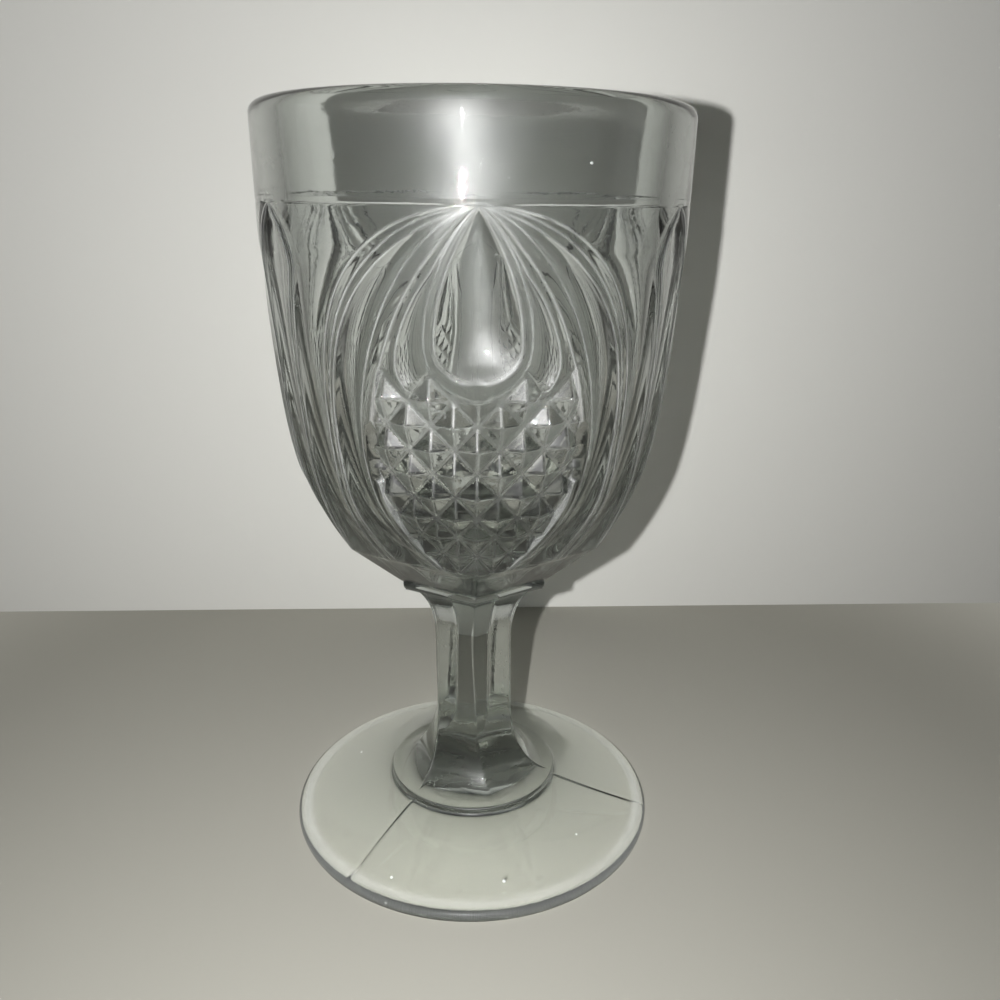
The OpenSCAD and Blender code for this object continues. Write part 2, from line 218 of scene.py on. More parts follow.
# Where the edges of the figures lie at a height, and how far their hollows have sunk there
def figures(z):
    p = pattern
    loopOut = p["loop"] * arched(z, loopWideZ, top, "loopPoint")
    ovalOut = p["oval"] * arched(z, ovalWideZ, top, "ovalPoint") * roundEnd(z, ovalWideZ, ovalFootZ)
    loopIn = ovalOut + (loopOut - ovalOut) * p["fluteShare"] * arched(z, fieldMidZ, top, "flutePoint")
    tearOut = p["tear"] * arched(z, tearWideZ, top, "ringPoint") * roundEnd(z, tearWideZ, tearFootZ)
    tearIn = p["tearHole"] * arched(z, tearWideZ, top, "holePoint") * roundEnd(z, tearWideZ, tearHoleZ)
    frameRise = clip((z - ovalWideZ) / (fieldTopZ - ovalWideZ))
    frameWide = p["frameFoot"] + (p["frameTop"] - p["frameFoot"]) * frameRise
    ovalIn = max(tearOut + p["frameReach"] * (ovalOut - tearOut), ovalOut - frameWide)
    arch = p["petal"] * arched(z, petalWideZ, petalTipZ, "petalPoint") * roundEnd(z, petalWideZ, petalFootZ)
    petal = min(ovalIn, max(arch, tearOut + p["petalLeast"] * (ovalIn - tearOut)))
    lancetOut = lancetWidth(z)
    lancetIn = max(lancetOut * p["lancetShare"], lancetOut - p["lancetRidge"])
    return {
        "tearIn": tearIn, "tearOut": tearOut, "petal": petal, "ovalIn": ovalIn, "ovalOut": ovalOut,
        "loopIn": loopIn, "loopOut": loopOut,
        "lancetOut": halfPanel - lancetOut, "lancetIn": halfPanel - lancetIn,
        "tearSunk": tearSunkAt(z, tearIn), "petalSunk": clip((arch - tearOut) / p["petalBlend"]),
        "gapSunk": scoopSunk(z, gapTopZ), "fluteSunk": scoopSunk(z, fluteTopZ),
    }


# Columns of points across half a panel, the same number at every height: on the diamonds inside
# the oval, and along the edges of the figures elsewhere
columnCounts = {
    "hole": 13, "ring": 3, "petal": 10, "frame": 10,
    "oval": 2, "flute": 7, "loop": 4, "gap": 9, "lancetEdge": 4, "lancet": 4,
}
inside = sum(columnCounts[name] for name in ("hole", "ring", "petal", "frame"))
stepsPerDiamond = 16
leastColumn = 0.04


def spread(start, stop, count):
    return list(np.linspace(start, stop, count + 1)[1:])


def panelColumns(z):
    f, n = figures(z), columnCounts
    if z >= fieldTopZ:
        columns = [0.0] + spread(0, f["tearIn"], n["hole"]) + spread(f["tearIn"], f["tearOut"], n["ring"])
        columns += spread(f["tearOut"], f["petal"], n["petal"]) + spread(f["petal"], f["ovalIn"], n["frame"])
    else:
        step = pattern["diamondWide"] / stepsPerDiamond
        lattice = step * np.arange(inside + 1)
        if f["tearOut"] > step:
            ringAt = max(2, round(f["tearOut"] / step))
            holeAt = max(1, min(round(f["tearIn"] / step), ringAt - 1))
            lattice[:holeAt + 1] = np.linspace(0, f["tearIn"], holeAt + 1)
            lattice[holeAt:ringAt + 1] = np.linspace(f["tearIn"], f["tearOut"], ringAt - holeAt + 1)
            if onPetal(f["petal"], z):
                lattice[round(f["petal"] / step)] = f["petal"]
        columns = list(np.minimum(lattice, f["ovalIn"] - leastColumn * (inside - np.arange(inside + 1))))
    columns += spread(f["ovalIn"], f["ovalOut"], n["oval"])
    columns += spread(f["ovalOut"], f["loopIn"], n["flute"]) + spread(f["loopIn"], f["loopOut"], n["loop"])
    columns += spread(f["loopOut"], f["lancetOut"], n["gap"])
    columns += spread(f["lancetOut"], f["lancetIn"], n["lancetEdge"])
    columns += spread(f["lancetIn"], halfPanel, n["lancet"])
    return np.array(columns)


# Figures narrower than this are left uncut
narrowest = 0.01


# Sections of a hollow and of a groove between two angles, as shares of their depth
def scoop(a, start, stop):
    if stop - start < narrowest:
        return 0 * a
    return clip(1 - (2 * (a - start) / (stop - start) - 1) ** 2)


def notch(a, start, stop):
    if stop - start < narrowest:
        return 0 * a
    return clip(1 - abs(2 * (a - start) / (stop - start) - 1))


# How far a count lies from the nearest odd number
def offOdd(v):
    return abs(v - (2 * np.floor(v / 2) + 1))


# Counts along the two sets of valleys; valleys cross where both are even
def counts(a, z):
    x, y = 2 * a / pattern["diamondWide"], 2 * (z - fieldMidZ) / pattern["diamondTall"]
    return x + y, x - y


# The petals beside the teardrop reach down into the field along two of its valleys
petalRising, petalFalling = 4, 2


def onPetal(a, z):
    rising, falling = counts(a, z)
    return (z >= fieldTopZ) | ((rising > petalRising) & (falling < petalFalling))


# Depth of the pattern under the plain body, at angles a from the middle of a panel
def relief(a, z):
    p, f = pattern, figures(z)
    rising, falling = counts(a, z)
    valleys = p["diamondDeep"] * np.maximum(offOdd(rising), offOdd(falling))
    narrow = clip(p["gapFull"] - (f["lancetOut"] - f["loopOut"]) / p["gapWide"])
    petal = np.where(a < f["petal"], p["petalDeep"] * f["petalSunk"] * scoop(a, f["tearOut"], f["petal"]),
                     p["groove"] * notch(a, f["petal"], f["ovalIn"]))
    if z < fieldTopZ:
        fromValley = np.minimum(rising - petalRising, petalFalling - falling)
        edge = p["diamondDeep"] * clip(1 - fromValley / p["bevel"])
        petal = np.where(onPetal(a, z), np.maximum(petal, edge), valleys)
    lancetFull = min(1, (halfPanel - f["lancetIn"]) / p["lancetFull"])
    depth = np.select(
        [a < f["tearIn"], (a <= f["tearOut"]) & (f["tearOut"] > 0), a < f["ovalIn"], a <= f["ovalOut"],
         a < f["loopIn"], a <= f["loopOut"], a < f["lancetOut"], a <= f["lancetIn"]],
        [p["tearDeep"] * f["tearSunk"] * scoop(a, -f["tearIn"], f["tearIn"]),
         -p["crown"] * scoop(a, f["tearIn"], f["tearOut"]),
         petal, 0 * a,
         p["fluteDeep"] * f["fluteSunk"] * scoop(a, f["ovalOut"], f["loopIn"]),
         p["groove"] * notch(a, f["loopIn"], f["loopOut"]),
         p["gapDeep"] * f["gapSunk"] * narrow * scoop(a, f["loopOut"], f["lancetOut"]),
         p["groove"] * notch(a, f["lancetOut"], f["lancetIn"])],
        p["lancetDeep"] * lancetFull * scoop(a, f["lancetIn"], 2 * halfPanel - f["lancetIn"]))
    return depth * min(1, f["loopOut"] / p["loopFull"]) * clip((z - coneZ) / (fadeZ - coneZ))


# Share of the patterned body that lies below a height
def bodyT(z):
    return (z - coneZ) / (goblet["bandZ"] - coneZ)


def bodyRadius(z):
    g, t = goblet, bodyT(z)
    return (g["cone"] + (g["bandFoot"] - g["cone"]) * (1 - clip(1 - t) ** g["bodyCurve"])
            - g["waist"] * math.sin(math.pi * t) ** 2)


# Radius of a six-sided section with softened corners, as a share of its corner radius
def sixSided(a, radius):
    side, half = 60, 30
    fromCorner = half - abs((a % side) - half)
    soft = math.degrees(goblet["cornerRound"] / radius) * 0.5
    return math.cos(math.radians(half)) / np.cos(np.radians(half - np.sqrt(fromCorner ** 2 + soft ** 2)))


# Outside of the patterned body
def skinRadius(angles, z):
    hexMix = goblet["hexMost"] * clip(1 - bodyT(z) / goblet["hexReach"]) ** goblet["hexFade"]
    radius = bodyRadius(z)
    return radius * (1 - hexMix * (1 - sixSided(angles, radius))) - relief(abs(angles), z)


# The edges of the figures as points along them, across the panel and up it in millimetres
edgeNames = (
    "tearIn", "tearOut", "petal", "ovalIn", "ovalOut",
    "loopIn", "loopMid", "loopOut", "lancetOut", "lancetIn")
edgeFeet = {"tearIn": tearHoleZ, "tearOut": tearFootZ, "petal": petalFootZ}
edgeRise, edgeStep = 0.06, 0.08


def edgePoints():
    found = []
    for name in edgeNames:
        line = []
        for z in np.arange(edgeFeet.get(name, coneZ), top, edgeRise):
            f = figures(z)
            f["loopMid"] = (f["loopIn"] + f["loopOut"]) / 2
            line.append((f[name] * math.radians(bodyRadius(z)), z))
        for (x, z), (nextX, nextZ) in zip(line, line[1:]):
            pieces = max(1, math.ceil(abs(nextX - x) / edgeStep))
            found += [(x + (nextX - x) * k / pieces, z + (nextZ - z) * k / pieces, 0) for k in range(pieces)]
    tree = KDTree(len(found))
    for k, point in enumerate(found):
        tree.insert(point, k)
    tree.balance()
    return tree


edgeTree = edgePoints()
print("pattern: edges of the figures laid out")


def edgeDistance(angles, z):
    arcWide = math.radians(bodyRadius(z))
    return np.array([edgeTree.find((abs(a) * arcWide, z, 0))[2] for a in angles])


# Distances of the parts that have no edge or ridge near them, and of the air bubbles
farAway, bubbleMark = 9.0, 20.0


# Distance to the nearest ridge of the diamonds, where the field has them
def ridgeDistance(angles, z):
    p, f = pattern, figures(z)
    a = abs(angles)
    across, upward = 2 * a / p["diamondWide"], 2 * (z - fieldMidZ) / p["diamondTall"]
    wide = math.radians(bodyRadius(z)) * p["diamondWide"] / 2
    level = abs(upward - round(upward)) * p["diamondTall"] / 2
    nearest = np.minimum(abs(across - np.round(across)) * wide, level)
    rising, falling = counts(a, z)
    nearest = np.minimum(nearest, (1 - np.maximum(offOdd(rising), offOdd(falling))) * p["valleyStep"])
    belowTear = (a > f["tearOut"]) | (f["tearOut"] <= 0)
    inField = (z < fieldTopZ) & belowTear & (a < f["ovalIn"]) & ~onPetal(a, z)
    return np.where(inField, nearest, farAway)


# A row is one ring of the skin across a panel: its angles, radii and heights
def row(angles, radii, heights, turn=0.0):
    angles = np.asarray(angles, float)
    return angles + turn, radii + 0 * angles, heights + 0 * angles


def mirrored(half):
    return np.concatenate([-half[:0:-1], half])


sideColumns, gathering = 34, 1.5


# Columns for the plain parts, close together at the corners of the six-sided stem
def plainColumns():
    u = np.linspace(0, 1, sideColumns)
    nearCorner = np.where(u < 0.5, 0.5 * (2 * u) ** gathering, 1 - 0.5 * (2 * (1 - u)) ** gathering)
    return mirrored(halfPanel * nearCorner)


def turnAt(z):
    return float(np.interp(z, twist["z"], twist["turn"]))


# Points of a quarter circle
def arc(cx, cz, radius, start, count):
    for k in range(count + 1):
        a = math.radians(start + 90 * k / count)
        yield cx + radius * math.cos(a), cz + radius * math.sin(a)


# Height of the mould seam, which runs where two panels meet
def seamRise(angles):
    rise = np.zeros_like(angles)
    rise[0] = rise[-1] = goblet["seam"]
    rise[1] = rise[-2] = goblet["seam"] * goblet["seamSide"]
    return rise


rowCounts = {
    "hollow": 12, "roll": 8, "edge": 10, "slope": 15, "padRound": 6, "flare": 24, "stem": 10, "collar": 18,
    "band": 9, "lip": 8, "cavity": 46,
}
# Where rows lie up the collar's edge and the cone, and under the top of the pattern in steps of its rows
collarShares = (0.06, 0.2, 0.4, 0.65, 0.85, 0.96)
coneShares = (0.03, 0.15, 0.3, 0.45, 0.6, 0.75, 0.88, 0.96)
apexShares = (0.6, 0.35, 0.15, 0.02)
leastRise = 0.05
# The small step where the pattern ends, as radius and height from the foot of the band
bandJoint = ((-0.05, -0.75), (-0.05, -0.4), (-0.01, -0.15), (0.03, 0.05), (0.01, 0.3), (0, 0.5))


def footRows(plain):
    g, n = goblet, rowCounts
    rows = []
    # Underside: a shallow hollow, the ring it stands on and the rolled edge
    roll = g["footEdge"] / 2
    hollowR = g["foot"] - roll - g["ring"]
    for k in range(1, n["hollow"] + 1):
        s = k / n["hollow"]
        rows.append(row(plain, hollowR * s, g["hollow"] * (1 - s * s) ** 2, turnAt(0)))
    for r, z in arc(g["foot"] - roll, roll, roll, -90, n["roll"]):
        rows.append(row(plain, r, z, turnAt(0)))
    reach = g["rollReach"]
    for k in range(1, n["edge"] + 1):
        a = math.radians(90 * k / n["edge"])
        rise = seamRise(plain) * math.sin(a) ** 2
        r, z = g["foot"] - reach + reach * math.cos(a), roll + (g["footEdge"] - roll) * math.sin(a)
        rows.append(row(plain, r, z + rise, turnAt(0)))
    # Top of the foot: a low cone, with the mould seams raised on it
    footTop = g["baseZ"] + g["padEdge"] - g["padStep"]
    for k in range(1, n["slope"]):
        s = k / n["slope"]
        r = (g["foot"] - reach) * (1 - s) + g["pad"] * s
        z = g["footEdge"] * (1 - s) + footTop * s
        turn = turnAt(0) * (1 - s) + turnAt(footTop) * s
        rows.append(row(plain, r, z + seamRise(plain), turn))
    # The pad, then the flare: round at the pad, six-sided at the stem
    half = g["padStep"] / 2
    for z in (footTop, footTop + half * 0.5, footTop + half):
        rows.append(row(plain, g["pad"], z, turnAt(z)))
    for r, z in list(arc(g["pad"] - half, footTop + half, half, 0, n["padRound"]))[1:]:
        rows.append(row(plain, r, z, turnAt(z)))
    flareR = g["pad"] - half
    for k in range(1, n["flare"] + 1):
        s = 1 - k / n["flare"]
        a = math.radians(90 * s)
        r = flareR - (flareR - g["stem"]) * math.cos(a)
        z = g["baseTop"] - (g["baseTop"] - footTop - g["padStep"]) * math.sin(a)
        roundness = s ** g["flareRound"]
        section = roundness + (1 - roundness) * sixSided(plain, r)
        rows.append(row(plain, r * section + seamRise(plain), z, turnAt(z)))
    return rows


def stemRows(plain):
    g, n = goblet, rowCounts
    rows = []
    for z in np.linspace(g["baseTop"], g["collarZ"], n["stem"])[1:-1]:
        rows.append(row(plain, g["stem"] * sixSided(plain, g["stem"]) + seamRise(plain), z, turnAt(z)))
    # Collar: a hollow curve out to a soft upright edge
    edgeR = g["seat"] - g["collarDraw"]
    footR = edgeR - g["collarSoft"]
    curve = g["seatZ"] - g["collarZ"] - g["collarEdge"]
    for k in range(0, n["collar"] + 1):
        a = math.radians(90 * k / n["collar"])
        r = footR - (footR - g["stem"]) * math.cos(a)
        z = g["collarZ"] + curve * math.sin(a)
        rows.append(row(plain, r * sixSided(plain, r) + seamRise(plain), z, turnAt(z)))
    for s in collarShares:
        z = g["seatZ"] - g["collarEdge"] * (1 - s)
        bulge = edgeR + g["collarDraw"] * s - g["collarSoft"] * abs(2 * s - 1) ** 3
        rows.append(row(plain, bulge * sixSided(plain, edgeR), z))
    seatR = g["seat"] - g["collarSoft"] - g["seatDraw"]
    rows.append(row(plain, seatR * sixSided(plain, edgeR), g["seatZ"]))
    # Cone under the bowl, whose columns pass over to those of the pattern
    bottom = mirrored(panelColumns(coneZ)[::2])
    for s in coneShares:
        angles = plain * (1 - s) + bottom * s
        r = g["seat"] + (g["cone"] - g["seat"]) * s
        mix = 1 - (1 - g["hexMost"]) * clip((s - g["coneBlendFrom"]) / g["coneBlendOver"])
        section = 1 - mix * (1 - sixSided(angles, r))
        rows.append(row(angles, r * section, g["seatZ"] + g["coneHeight"] * s))
    return rows


def patternRows():
    step = pattern["diamondTall"] / stepsPerDiamond
    first = math.ceil((coneZ + step / 2 - fieldMidZ) / step)
    last = math.floor((top - step / 2 - fieldMidZ) / step)
    heights = [coneZ] + [fieldMidZ + j * step for j in range(first, last + 1)]
    heights += [top - step * s for s in apexShares if top - step * s > heights[-1] + leastRise]
    rows = []
    for z in heights:
        angles = mirrored(panelColumns(z))
        rows.append(row(angles, skinRadius(angles, z), z))
    return rows


# Band, lip and inside, down to the floor of the bowl
def bandRows(floorZ):
    g, n = goblet, rowCounts
    level = mirrored(np.linspace(0, halfPanel, sideColumns))
    rows = [row(level, g["bandFoot"] + r, g["bandZ"] + z) for r, z in bandJoint]
    lipZ = g["height"] - g["lipRound"]
    innerR = g["rim"] - g["lipWall"]
    for s in np.linspace(0, 1, n["band"])[1:-1]:
        r = g["bandFoot"] + (g["rim"] - g["bandFoot"]) * s
        rows.append(row(level, r, g["bandZ"] + g["bandStart"] + (lipZ - g["bandZ"] - g["bandStart"]) * s))
    for r, z in arc(g["rim"] - g["lipRound"], lipZ, g["lipRound"], 0, n["lip"]):
        rows.append(row(level, r, z))
    for r, z in arc(innerR + g["lipRound"], lipZ, g["lipRound"], 90, n["lip"]):
        rows.append(row(level, r, z))
    cavityR = g["bandFoot"] - g["bandWall"]
    for s in np.linspace(0, 1, n["band"])[1:-1]:
        rows.append(row(level, innerR + (cavityR - innerR) * s, lipZ + (g["bandZ"] - lipZ) * s))
    for k in range(n["cavity"], 0, -1):
        s = (k / n["cavity"]) ** 2
        r = cavityR * math.sqrt(1 - (1 - s) ** g["cavityCurve"]) * (1 - g["cavityDraw"] * (1 - s))
        rows.append(row(level, r, floorZ + s * (g["bandZ"] - floorZ)))
    return rows


# Which cells between two rows of the pattern are split along their rising diagonal: those where its
# middle lies nearer the true surface
def risingSplits(lower, upper):
    low, high = lower[1], upper[1]
    middle = (lower[0][:-1] + lower[0][1:] + upper[0][:-1] + upper[0][1:]) / 4
    truth = skinRadius(middle, (lower[2][0] + upper[2][0]) / 2)
    return abs((low[:-1] + high[1:]) / 2 - truth) <= abs((low[1:] + high[:-1]) / 2 - truth)


# Triangles between two rows that start at points a and b; one may have twice the cells of the other
def stripFaces(a, b, low, high, rising):
    faces = []
    if low == high:
        for i in range(low - 1):
            p, q, r, s = a + i, a + i + 1, b + i + 1, b + i
            faces += [(p, q, r), (p, r, s)] if rising[i] else [(p, q, s), (q, r, s)]
    elif low < high:
        for i in range(low - 1):
            p, q, r = a + i, a + i + 1, b + 2 * i
            faces += [(p, r + 1, r), (p, q, r + 1), (q, r + 2, r + 1)]
    else:
        for i in range(high - 1):
            p, q, r = a + 2 * i, b + i, b + i + 1
            faces += [(p, p + 1, q), (p + 1, r, q), (p + 1, p + 2, r)]
    return faces


# One panel's share of the skin as a mesh, from the middle of the underside to the floor of the bowl
def panelMesh():
    plain = plainColumns()
    floorZ = goblet["seatZ"] + goblet["floor"]
    below, middle = footRows(plain) + stemRows(plain), patternRows()
    rows = below + middle + bandRows(floorZ)
    patterned = range(len(below), len(below) + len(middle))
    spots = [(0.0, 0.0, goblet["hollow"])]
    starts = []
    for angles, radii, heights in rows:
        starts.append(len(spots))
        turned = np.radians(angles)
        spots += list(zip(radii * np.sin(turned), -radii * np.cos(turned), heights))
    spots.append((0.0, 0.0, floorZ))
    spots = np.array(spots) * mm
    faces = []
    for i in range(len(plain) - 1):
        faces.append((0, starts[0] + i + 1, starts[0] + i))
        faces.append((len(spots) - 1, starts[-1] + i, starts[-1] + i + 1))
    for j in range(len(rows) - 1):
        low, high = len(rows[j][0]), len(rows[j + 1][0])
        split = j in patterned and j + 1 in patterned
        rising = risingSplits(rows[j], rows[j + 1]) if split else [True] * low
        faces += stripFaces(starts[j], starts[j + 1], low, high, rising)
    mesh = bpy.data.meshes.new("panel")
    mesh.from_pydata([tuple(p) for p in spots], [], faces)
    mesh.validate()
    for name, distance in (("edgeDistance", edgeDistance), ("ridgeDistance", ridgeDistance)):
        values = np.full(len(spots), farAway)
        for j in patterned:
            angles, radii, heights = rows[j]
            values[starts[j]:starts[j] + len(angles)] = distance(angles, heights[0])
        mesh.attributes.new(name, "FLOAT", "POINT").data.foreach_set("value", values)
    print("panel:", len(rows), "rows,", len(faces), "triangles")
    return mesh


# Geometry Nodes: repeats a panel round the axis, welds the copies into one skin and lets it wave a little
def panelsRound():
    tree = bpy.data.node_groups.new("panelsRound", "GeometryNodeTree")
    face = tree.interface
    face.new_socket("Geometry", in_out="OUTPUT", socket_type="NodeSocketGeometry")
    for name, kind in (("Geometry", "Geometry"), ("Panels", "Int"), ("Weld", "Float"), ("Waviness", "Float"),
                       ("Wave length", "Float"), ("Seed", "Float"), ("Glass", "Material")):
        face.new_socket(name, in_out="INPUT", socket_type="NodeSocket" + kind)
    graph = Graph(tree)
    given = graph.add("NodeGroupInput")
    spots = graph.add("GeometryNodePoints", {}, {"Count": given.out("Panels")})
    index = graph.add("GeometryNodeInputIndex")
    angle = index * (2 * math.pi) / given.out("Panels")
    turned = graph.add("ShaderNodeCombineXYZ", {}, {"Z": angle})
    placed = graph.add("GeometryNodeInstanceOnPoints", {}, {
        "Points": spots, "Instance": given.out("Geometry"), "Rotation": turned})
    real = graph.add("GeometryNodeRealizeInstances", {}, {"Geometry": placed})
    welded = graph.add("GeometryNodeMergeByDistance", {}, {"Geometry": real, "Distance": given.out("Weld")})
    position = graph.add("GeometryNodeInputPosition")
    normal = graph.add("GeometryNodeInputNormal")
    wave = graph.add("ShaderNodeTexNoise", {"noise_dimensions": "4D"}, {
        "Vector": position, "W": given.out("Seed"), "Scale": 1 / given.out("Wave length"), "Detail": 1.0})
    rise = (wave - 0.5) * given.out("Waviness")
    offset = graph.add("ShaderNodeVectorMath", {"operation": "SCALE"}, {"Vector": normal, "Scale": rise})
    waved = graph.add("GeometryNodeSetPosition", {}, {"Geometry": welded, "Offset": offset})
    smooth = graph.add("GeometryNodeSetShadeSmooth", {}, {"Geometry": waved, "Shade Smooth": True})
    dressed = graph.add("GeometryNodeSetMaterial", {}, {"Geometry": smooth, "Material": given.out("Glass")})
    graph.add("NodeGroupOutput", {}, {"Geometry": dressed})
    return tree


def setInputs(modifier, tree, values):
    identifiers = {item.name: item.identifier for item in tree.interface.items_tree if item.in_out == "INPUT"}
    for name, value in values.items():
        modifier[identifiers[name]] = value


# Evaluates an object's modifier and gives back a plain object with the result as its mesh
def madePlain(source, name):
    depsgraph = bpy.context.evaluated_depsgraph_get()
    mesh = bpy.data.meshes.new_from_object(source.evaluated_get(depsgraph))
    mesh.name = name
    bpy.data.objects.remove(source)
    made = bpy.data.objects.new(name, mesh)
    scene.collection.objects.link(made)
    return made


glassLook = {
    # The glass itself, which darkens with depth
    "colour": (0.96, 0.975, 0.965, 1), "ior": 1.5, "depthColour": (0.05, 0.12, 0.07, 1), "depthDensity": 22.0,
    # Unevenness of the pressed face: broad ripples, fine grain and upright flow lines
    "ripple": 6.0, "rippleDepth": 0.02, "grain": 0.5, "grainDepth": 0.004,
    "flow": 2.2, "flowDepth": 0.012, "flowStretch": (0.16, 0.16, 1.0),
    # Fire-polished beads along the edges of the figures and of the diamonds
    "bead": 0.4, "beadRise": 0.12, "ridgeRise": 0.1,
    # Wear: roughness, a thin film and scuffed edges and ridges, which are partly worn and partly a painted
    # highlight, less on the low diamonds
    "wearScale": 60.0, "wearSpan": (0.35, 0.65), "clear": 0.008, "worn": 0.05, "wornSpan": (0.5, 0.75),
    "film": 0.5, "filmShares": (0.4, 1.3), "filmRoughness": 0.4, "bubbleSpan": (12.0, 18.0),
    "scuffAndHighlight": 0.16, "scuffAndHighlightWide": 0.35, "scuffAndHighlightLeast": 0.25, "paleWearAndLight": (0.8, 0.81, 0.8, 1),
    "ridgeWearAndHighlight": 0.45, "ridgeShare": 0.8, "ridgeLow": 78, "ridgeHigh": 100, "ridgeLeast": 0.3,
    # Pale ring near the edge of the foot, on its top only: painted light for the bright band the foot's edge
    # gathers
    "rimFrom": 36.6, "rimTo": 38.6, "rimPast": (0.2, 1.1), "rimPaintedLight": 0.24, "rimLow": 3.6, "rimHigh": 4.2,
    "spokes": 60, "spokeSpan": (0.3, 0.7), "spokeLeast": 0.5,
    # Shadow that the clear foot and the patterned bowl throw
    "footShade": (0.82, 0.82, 0.81, 1), "bowlShade": (0.2, 0.205, 0.2, 1), "shadeLow": 8, "shadeHigh": 14,
}


def glassMaterial():
    look = glassLook
    material, graph = newMaterial("pressedGlass")
    coords = graph.add("ShaderNodeTexCoord").out("Object")
    axes = graph.add("ShaderNodeSeparateXYZ", {}, {"Vector": coords})
    x, y, z = (axes.out(axis) for axis in "XYZ")
    edge = graph.add("ShaderNodeAttribute", {"attribute_name": "edgeDistance"}).out("Fac")
    ridge = graph.add("ShaderNodeAttribute", {"attribute_name": "ridgeDistance"}).out("Fac")
    wear = graph.add("ShaderNodeTexNoise", {}, {
        "Vector": coords, "Scale": look["wearScale"], "Detail": 5.0, "Roughness": 0.65})

    # Bump
    ripple = graph.noise(coords, look["ripple"], 2.0)
    grain = graph.noise(coords, look["grain"], 2.0)
    stretched = graph.add("ShaderNodeVectorMath", {"operation": "MULTIPLY"}, {
        0: coords, 1: look["flowStretch"]})
    flow = graph.noise(stretched, look["flow"], 3.0)
    bead = graph.ranged(edge, (0.0, look["bead"]), (look["beadRise"], 0.0), eased=True)
    ridgeBead = graph.ranged(ridge, (0.0, look["bead"]), (look["ridgeRise"], 0.0), eased=True)
    height = (ripple * look["rippleDepth"] + grain * look["grainDepth"] + flow * look["flowDepth"]
              + bead + ridgeBead)
    bump = graph.add("ShaderNodeBump", {}, {"Height": height, "Distance": mm, "Strength": 1.0})

    # Roughness and film; the bubbles, marked by their distance, have no film
    worn = graph.ranged(wear, look["wornSpan"], (look["clear"], look["worn"]))
    film = graph.ranged(wear, look["wearSpan"], [look["film"] * share for share in look["filmShares"]])
    film = film * graph.ranged(edge, look["bubbleSpan"], (1.0, 0.0))

    # Scuffed edges and ridges: partly wear, partly a painted highlight
    scuffAndHighlighted = graph.ranged(edge, (0.0, look["scuffAndHighlightWide"]), (1.0, 0.0), eased=True)
    ridgeWide = look["scuffAndHighlightWide"] * look["ridgeShare"]
    ridgeWornAndHighlit = graph.ranged(ridge, (0.0, ridgeWide), (look["ridgeWearAndHighlight"], 0.0), eased=True)
    # The painted highlight on the ridges is weaker on the low diamonds, where less light catches them
    upField = graph.ranged(z, (look["ridgeLow"] * mm, look["ridgeHigh"] * mm), (look["ridgeLeast"], 1.0))
    scuffAndHighlighted = graph.maths("MAXIMUM", scuffAndHighlighted, ridgeWornAndHighlit * upField)
    scuffAndHighlighted = scuffAndHighlighted * graph.ranged(wear, look["wearSpan"], (look["scuffAndHighlightLeast"], 1.0))

    # Painted light on a ring near the edge of the foot, streaked outwards
    reach = graph.maths("SQRT", x * x + y * y)
    rising = (look["rimFrom"] * mm, look["rimTo"] * mm)
    falling = [(look["rimTo"] + past) * mm for past in look["rimPast"]]
    inner = graph.ranged(reach, rising, (0.0, look["rimPaintedLight"]), eased=True)
    outer = graph.ranged(reach, falling, (1.0, 0.0), eased=True)
    around = graph.maths("ARCTAN2", y, x)
    spokes = graph.add("ShaderNodeTexNoise", {"noise_dimensions": "1D"}, {
        "W": around * look["spokes"], "Detail": 2.0})
    streaks = graph.ranged(spokes, look["spokeSpan"], (look["spokeLeast"], 1.0))
    low = graph.ranged(z, (look["rimLow"] * mm, look["rimHigh"] * mm), (1.0, 0.0))
    rimPaintedLight = inner * outer * streaks * low

    clear = graph.add("ShaderNodeBsdfPrincipled", {}, {
        "Base Color": look["colour"], "Roughness": worn, "IOR": look["ior"], "Transmission Weight": 1.0,
        "Normal": bump, "Coat Weight": film, "Coat Roughness": look["filmRoughness"]})
    # Pale diffuse over the clear glass: worn edges with a painted highlight on them, and the painted light of
    # the foot's ring
    paleWearAndLight = graph.add("ShaderNodeBsdfDiffuse", {}, {"Color": look["paleWearAndLight"], "Normal": bump})
    glass = graph.add("ShaderNodeMixShader", {}, {0: scuffAndHighlighted * look["scuffAndHighlight"] + rimPaintedLight, 1: clear, 2: paleWearAndLight})

    # Shadow rays see a plain tint instead
    footShade = graph.add("ShaderNodeBsdfTransparent", {}, {"Color": look["footShade"]})
    bowlShade = graph.add("ShaderNodeBsdfTransparent", {}, {"Color": look["bowlShade"]})
    above = graph.ranged(z, (look["shadeLow"] * mm, look["shadeHigh"] * mm), (0.0, 1.0))
    shade = graph.add("ShaderNodeMixShader", {}, {0: above, 1: footShade, 2: bowlShade})
    shadowRay = graph.add("ShaderNodeLightPath").out("Is Shadow Ray")
    mixed = graph.add("ShaderNodeMixShader", {}, {0: shadowRay, 1: glass, 2: shade})
    depth = graph.add("ShaderNodeVolumeAbsorption", {}, {
        "Color": look["depthColour"], "Density": look["depthDensity"]})
    graph.add("ShaderNodeOutputMaterial", {}, {"Surface": mixed, "Volume": depth})
    return material


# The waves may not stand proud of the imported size
def keepInBox(piece):
    coords = np.empty(len(piece.data.vertices) * 3)
    piece.data.vertices.foreach_get("co", coords)
    coords = coords.reshape(-1, 3)
    reach = np.hypot(coords[:, 0], coords[:, 1])
    coords[:, :2] *= np.minimum(1, goblet["rim"] * mm / np.maximum(reach, 1e-9))[:, None]
    coords[:, 2] = np.clip(coords[:, 2], 0, goblet["height"] * mm)
    piece.data.vertices.foreach_set("co", coords.ravel())
    piece.data.update()


